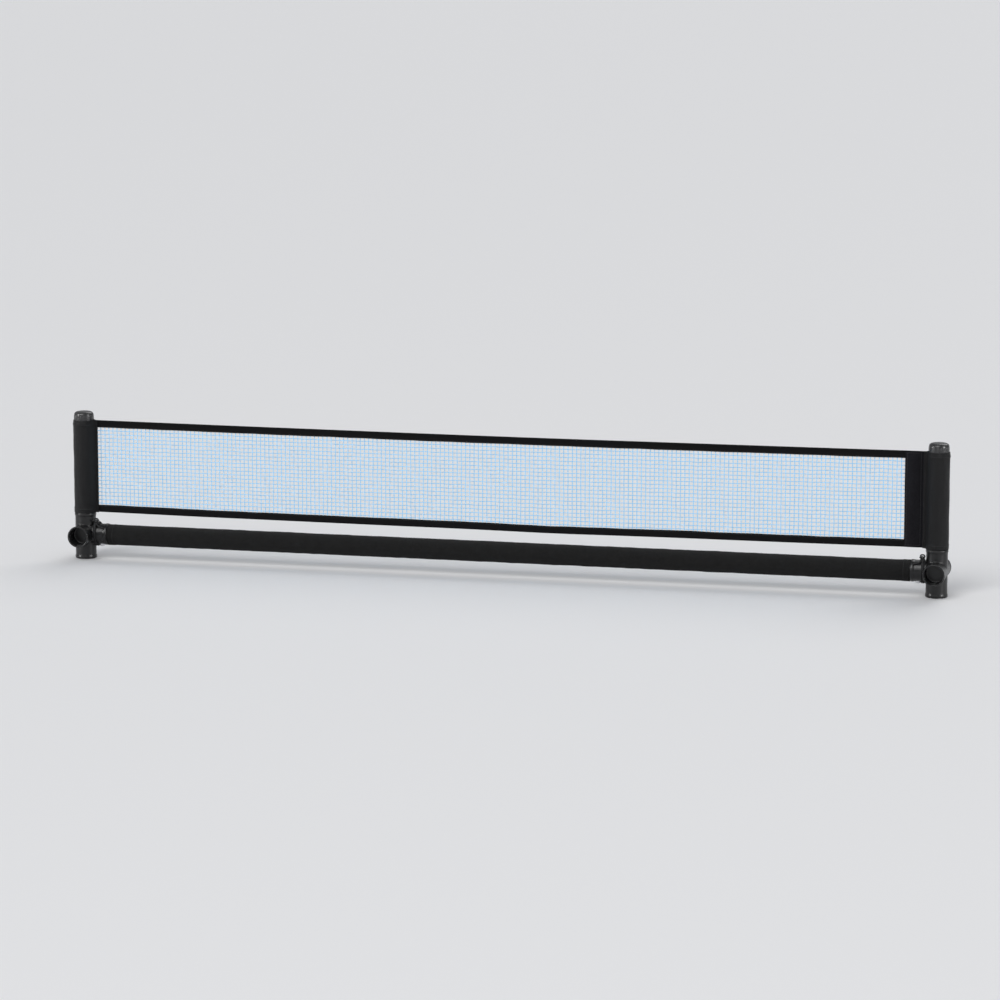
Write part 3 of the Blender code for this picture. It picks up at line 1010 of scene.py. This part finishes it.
def bottomMiddle(x):
    # folded under the mesh's lower edge, open upwards
    drop = bottomDrop(x)
    leg = tapeSetup["legGap"] / 2 + tapeSetup["thickness"] / 2
    fold = baseLow.z - drop + tapeSetup["thickness"] / 2 + leg
    edge = baseHigh.z - drop + 0.0004 * ripple((x, 0.0, 2.0), 0.03, 6.0) - tapeSetup["thickness"] / 2
    waver = tapeSetup["waver"] * ripple((x, 2.0, 0.0), 0.045, 7.0)
    under = arcPoints((0.0, fold), leg, 180, 360, 8)
    legs = [(-leg + waver * t, fold + (edge - fold) * t) for t in (0.4, 0.7, 1.0)]
    right = [(leg + waver * t, z) for (_, z), t in zip(legs, (0.4, 0.7, 1.0))]
    return legs[::-1] + under + right


def makeTapes():
    topTape = tapePiece("netTopTape", topMiddle, tapeCloth)
    finishPiece(topTape, netBody, "tape_fabric", "net_top_tape")
    bottomTape = tapePiece("netBottomTape", bottomMiddle, tapeCloth)
    finishPiece(bottomTape, netBody, "tape_fabric", "net_bottom_tape")

    face = tapeSetup["legGap"] / 2 + tapeSetup["thickness"] + 0.0001
    rows = []
    for back in (-1, 1):
        topRow, baseRow = [], []
        for x in evenly(netStart + tapeSetup["stitchEnd"], netEnd - tapeSetup["stitchEnd"], 280):
            flat = netBillow(x) + back * face
            topY = flat + tapeSetup["waver"] * ripple((x, 1.0, 0.0), 0.045, 4.0) * 0.8
            baseY = flat + tapeSetup["waver"] * ripple((x, 2.0, 0.0), 0.045, 7.0) * 0.8
            topRow.append(Vector((x, topY, tapeLow.z - topDrop(x) + tapeSetup["stitchFromEdge"])))
            baseRow.append(Vector((x, baseY, baseHigh.z - bottomDrop(x) - tapeSetup["stitchFromEdge"])))
        rows += [(topRow, False), (baseRow, False)]
    sewRows("tapeStitches", rows, netBody, "tape_fabric")


def makeTopCord():
    xs = evenly(netStart + 0.004, netEnd - 0.004, 420)
    path = [Vector((x, netBillow(x), cordHeight - topDrop(x))) for x in xs]
    cord = layCord("netTopCord", [(path, False)], cordRadius * 0.98, tapeSetup["cordLay"])
    finishPiece(cord, netBody, "cord_black", "net_top_cord")


def makeMesh(setup):
    left = netStart - tapeSetup["tuckedIn"]
    right = netEnd + tapeSetup["tuckedIn"]
    low = baseLow.z + setup["intoBottomTape"]
    high = cordHeight - cordRadius - setup["belowCord"]
    columns = round((right - left) / setup["acrossPitch"]) + 1
    rows = round((high - low) / setup["pitch"]) + 1
    values = {
        "Columns": columns,
        "Rows": rows,
        "Pitch": setup["pitch"],
        "Thread radius": setup["threadRadius"],
        "Knot radius": setup["knotRadius"],
        "Yarn": netYarn,
    }
    piece = growPiece("netMesh", bpy.data.meshes.new("none"), netTree, values, netYarn)
    wide = (columns - 1) * setup["pitch"]
    tall = (rows - 1) * setup["pitch"]
    margin = setup["threadRadius"]
    for vertex in piece.data.vertices:
        x, y, z = vertex.co
        share = z / tall
        x = left + margin + x * (right - left - 2 * margin) / wide
        top = high - topDrop(x)
        bottom = low - bottomDrop(x)
        inside = math.sin(math.pi * min(max(share, 0.0), 1.0))
        sway = setup["jitter"] * ripple((x, 0.0, share * tall), 0.011, 1.0) * min(1.0, 3 * inside)
        shift = setup["jitter"] * ripple((x, 5.0, share * tall), 0.013, 2.0) * min(1.0, 3 * inside)
        edge = smoothStep(netStart, netStart + 0.01, x) * smoothStep(netEnd, netEnd - 0.01, x)
        vertex.co = (
            x + sway * edge,
            y * setup["thinned"] + netBillow(x),
            bottom + share * (top - bottom) + shift,
        )
    finishPiece(piece, netBody, "net_blue", "net_mesh")
    print("net:", columns, "by", rows, "threads")


panelSetup = {
    "across": 26,
    "up": 90,
    "grooveIn": 0.0030,
    "grooveDepth": 0.00045,
    "edgeRound": 0.0009,
    "tuckedIn": 0.0024,
    "pressedThickness": 0.0007,
    "grooveWidth": 0.0009,
    "pile": 0.00016,
    "bow": 0.0004,
}


def panelBow(z, low, high):
    return panelSetup["bow"] * math.sin(math.pi * (z - low) / (high - low) * 2.3)


def makePanel(setup):
    low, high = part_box("net_end_panel")
    middle = (low + high) / 2
    halfWide, halfThick = (high.x - low.x) / 2, (high.y - low.y) / 2
    rings = []
    for z in evenly(low.z, high.z, setup["up"]):
        fromEnd = min(z - low.z, high.z - z)
        endGroove = math.exp(-(((fromEnd - setup["grooveIn"]) / setup["grooveWidth"]) ** 2))
        thin = 1 - 0.35 * (1 - smoothStep(0.0, setup["edgeRound"], fromEnd))
        front = []
        bow = panelBow(z, low.z, high.z)
        for x in evenly(-halfWide, halfWide + setup["tuckedIn"], setup["across"]):
            fromSide = max(halfWide - abs(x), 0.0)
            sideGroove = math.exp(-(((fromSide - setup["grooveIn"]) / setup["grooveWidth"]) ** 2))
            overEdge = max(0.0, 1 - fromSide / setup["edgeRound"])
            depth = halfThick * thin * math.sqrt(max(1 - overEdge ** 2, 0.04))
            depth -= setup["grooveDepth"] * max(sideGroove, endGroove) * (1 if fromSide > 0.0012 else 0)
            pile = setup["pile"] * ripple((x, 0.0, z), 0.0017, 8.0)
            pressed = smoothStep(halfWide - 0.0012, halfWide - 0.0001, x)
            depth = (depth + pile) * (1 - pressed) + setup["pressedThickness"] / 2 * pressed
            front.append((x, depth, bow * (1 - smoothStep(halfWide * 0.4, halfWide - 0.001, x))))
        outline = [(x, shift - y) for x, y, shift in front]
        outline += [(x, shift + y) for x, y, shift in reversed(front)]
        rings.append([Vector((middle.x + x, middle.y + y, z)) for x, y in outline])
    panel = loftPiece("netEndPanel", rings, panelCloth)
    finishPiece(panel, netBody, "tape_fabric", "net_end_panel")
    rows = []
    inset = setup["grooveIn"]
    for back in (-1, 1):
        frameLine = []
        corners = [(-1, -1), (1, -1), (1, 1), (-1, 1)]
        for (ax, az), (bx, bz) in zip(corners, corners[1:] + corners[:1]):
            for t in evenly(0.0, 1.0, 24)[:-1]:
                x = (ax + (bx - ax) * t) * (halfWide - inset)
                z = middle.z + (az + (bz - az) * t) * ((high.z - low.z) / 2 - inset)
                bow = panelBow(z, low.z, high.z) * (1 - smoothStep(halfWide * 0.4, halfWide - 0.001, x))
                frameLine.append(Vector((middle.x + x, middle.y + bow + back * (halfThick - 0.0003), z)))
        rows.append((frameLine, True))
    sewRows("panelStitches", rows, netBody, "tape_fabric")


makeTapes()
makeTopCord()
makeMesh(netSetup)
makePanel(panelSetup)
print("net is done")


# the crossbar's sleeve

sleeveSetup = {
    "clothThickness": 0.0009,
    "lengthSteps": 380,
    "roundSteps": 44,
    "lapAngle": 26,
    "seamAngle": 235,
    "wrinkle": 0.00032,
    "hemWidth": 0.011,
    "hemLift": 0.0003,
    "lapStitch": 0.25,
    "hemStitch": 0.0085,
    "stitchEnd": 0.003,
}
napSetup = {
    "Fibres per square metre": 140000.0,
    "Fibre length": 0.0013,
    "Fibre radius": 0.00005,
    "Seed": 4,
}


def makeSleeve(setup):
    low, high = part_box("crossbar_sleeve")
    axis = barAxis
    radius = (high.z - low.z) / 2 - setup["clothThickness"] / 2
    lapStart = setup["seamAngle"]
    rings = []
    for x in evenly(low.x, high.x, setup["lengthSteps"]):
        fromEnd = min(x - low.x, high.x - x)
        wide = setup["hemWidth"]
        lift = setup["hemLift"] * (1 - smoothStep(wide - 0.001, wide + 0.001, fromEnd))
        middle = []
        for i in range(setup["roundSteps"] + 1):
            share = i / setup["roundSteps"]
            angle = math.radians(lapStart + (360 + setup["lapAngle"]) * share)
            lap = setup["clothThickness"] * 1.05 * smoothStep(0.90, 0.945, share)
            crease = ripple((x, 0.012 * math.cos(angle), 0.012 * math.sin(angle)), 0.012, 3.0)
            slack = ripple((x * 0.35, 0.01 * math.cos(angle), 0.01 * math.sin(angle)), 0.010, 6.0)
            r = radius + lift + lap + setup["wrinkle"] * (crease + 0.8 * slack)
            middle.append((r * math.cos(angle), r * math.sin(angle)))
        outline = ribbonOutline(middle, setup["clothThickness"])
        rings.append([Vector((x, axis.y + y, axis.z + z)) for y, z in outline])
    sleeve = loftPiece("crossbarSleeve", rings, sleeveCloth)
    finishPiece(sleeve, "frame", "sleeve_fabric", "crossbar_sleeve")
    around = 2 * math.pi * radius * (360 + setup["lapAngle"]) / 360

    surface = bpy.data.meshes.new("napStart")
    outer = radius + setup["clothThickness"] / 2
    points = []
    around = 24
    xs = evenly(low.x + 0.001, high.x - 0.001, 60)
    for x in xs:
        for y, z in arcPoints((axis.y, axis.z), outer, 0, 360 - 360 / around, around - 1):
            points.append((x, y, z))
    surface.from_pydata(points, [], tubeFaces(len(xs), around))
    nap = growPiece("sleeveNap", surface, napTree, dict(napSetup, Yarn=cordYarn), cordYarn)
    finishPiece(nap, "frame", "sleeve_fabric")

    rows = []
    stitchRadius = outer + setup["clothThickness"] * 1.05 + 0.00015
    angle = math.radians(lapStart + setup["lapAngle"] * setup["lapStitch"])
    y, z = axis.y + stitchRadius * math.cos(angle), axis.z + stitchRadius * math.sin(angle)
    xs = evenly(low.x + setup["stitchEnd"], high.x - setup["stitchEnd"], 200)
    rows.append(([Vector((x, y, z)) for x in xs], False))
    for x in (low.x + setup["hemStitch"], high.x - setup["hemStitch"]):
        hem = arcPoints((0.0, 0.0), outer + setup["hemLift"] + 0.0002, lapStart + 20, lapStart + 345, 60)
        rows.append(([Vector((x, axis.y + y, axis.z + z)) for y, z in hem], False))
    sewRows("sleeveStitches", rows, "frame", "sleeve_fabric")


makeSleeve(sleeveSetup)
print("sleeve is done")


# corner ties

tieSetup = {
    "cordRadius": 0.0011,
    "turns": 2.0,
    "spacing": 0.0025,
    "stepsPerTurn": 60,
    "knotAngle": 115,
    "knotSize": 0.0026,
    "loopHeights": (0.0068, 0.0052),
    "loopWidth": 0.0058,
    "loopSpread": 0.0034,
    "layLength": 0.006,
    "tails": [{"along": 0.0125, "angle": 146}, {"along": -0.0015, "angle": 172}],
}


def tiePath(side, setup):
    low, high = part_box("corner_tie_" + sideNames[side])
    inward = Vector((-side, 0.0, 0.0))
    radius = (high.z - low.z) / 2 - 0.0012
    centre = Vector(((low.x + high.x) / 2, barAxis.y, barAxis.z))

    def onSocket(degrees, reach, along):
        angle = math.radians(degrees)
        return centre + inward * along + Vector((0.0, math.cos(angle), math.sin(angle))) * reach

    knotAngle = setup["knotAngle"]
    steps = int(setup["turns"] * setup["stepsPerTurn"])
    winding = [
        onSocket(
            knotAngle + 360 * setup["turns"] * i / steps,
            radius,
            (i / steps - 0.5) * setup["spacing"] * setup["turns"],
        )
        for i in range(steps + 1)
    ]
    out = Vector((0.0, math.cos(math.radians(knotAngle)), math.sin(math.radians(knotAngle))))
    around = Vector((0.0, -out.z, out.y))
    middle = centre + out * (radius + 0.0017)
    knot = []
    for i in range(73):
        turn = 2 * math.pi * i / 72
        reach = setup["knotSize"] * (2 + math.cos(3 * turn)) / 3
        flat = inward * reach * math.cos(2 * turn) + around * reach * math.sin(2 * turn)
        knot.append(middle + flat + out * 0.0011 * math.sin(3 * turn))
    paths = [(winding, False), (knot, True)]
    for height, lean in zip(setup["loopHeights"], (1.0, -1.0)):
        loop = []
        for share in evenly(0.0, 1.0, 30):
            rise = math.sin(math.pi * share)
            swing = math.sin(2 * math.pi * share) * setup["loopWidth"] / 2
            spot = middle + out * (0.0008 + height * rise) + inward * swing
            loop.append(spot + around * lean * setup["loopSpread"] * rise)
        paths.append((loop, False))
    for tail in setup["tails"]:
        run = []
        for share in evenly(0.0, 1.0, 24):
            settle = smoothStep(0.0, 0.35, share)
            wave = 0.0006 * math.sin(math.pi * 2 * share) * settle
            reach = radius + 0.0024 * (1 - settle) + wave + 0.0006
            bend = 5.0 * math.sin(math.pi * 1.5 * share)
            degrees = knotAngle + (tail["angle"] - knotAngle) * share + bend
            run.append(onSocket(degrees, reach, tail["along"] * share))
        paths.append((run, False))
    return paths


def makeTie(side):
    name = "cornerTie" + sideNames[side].capitalize()
    tie = layCord(name, tiePath(side, tieSetup), tieSetup["cordRadius"], tieSetup["layLength"])
    finishPiece(tie, "frame", "cord_black", "corner_tie_" + sideNames[side])


for side in sideNames:
    makeTie(side)
print("ties are done")
